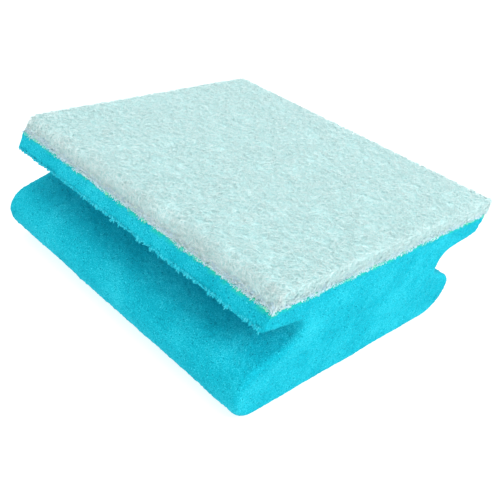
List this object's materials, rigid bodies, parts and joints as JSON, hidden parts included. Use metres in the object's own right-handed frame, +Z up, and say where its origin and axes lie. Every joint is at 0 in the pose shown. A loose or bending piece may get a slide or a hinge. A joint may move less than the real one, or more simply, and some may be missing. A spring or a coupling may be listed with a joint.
{
  "type": "grip sponge",
  "caption": "Block of soft foam with a finger groove along each long side and a non-woven scouring pad bonded over its top.",
  "frame": {"origin": "middle of the flat underside of the foam, on the surface the sponge rests on", "axes": "+Z up from the foam's underside to the scouring pad; +Y along the finger grooves; +X across the sponge, towards one grooved side"},
  "size_m": [0.095, 0.1, 0.0408],
  "materials": {
    "foam": "open-cell polyurethane foam, matt",
    "film": "thin translucent hot-melt film",
    "pad": "non-woven synthetic fibre, matt"
  },
  "bodies": {
    "root": {"foam_body": "foam", "bond_film": "film", "scouring_pad": "pad"}
  },
  "joints": []
}
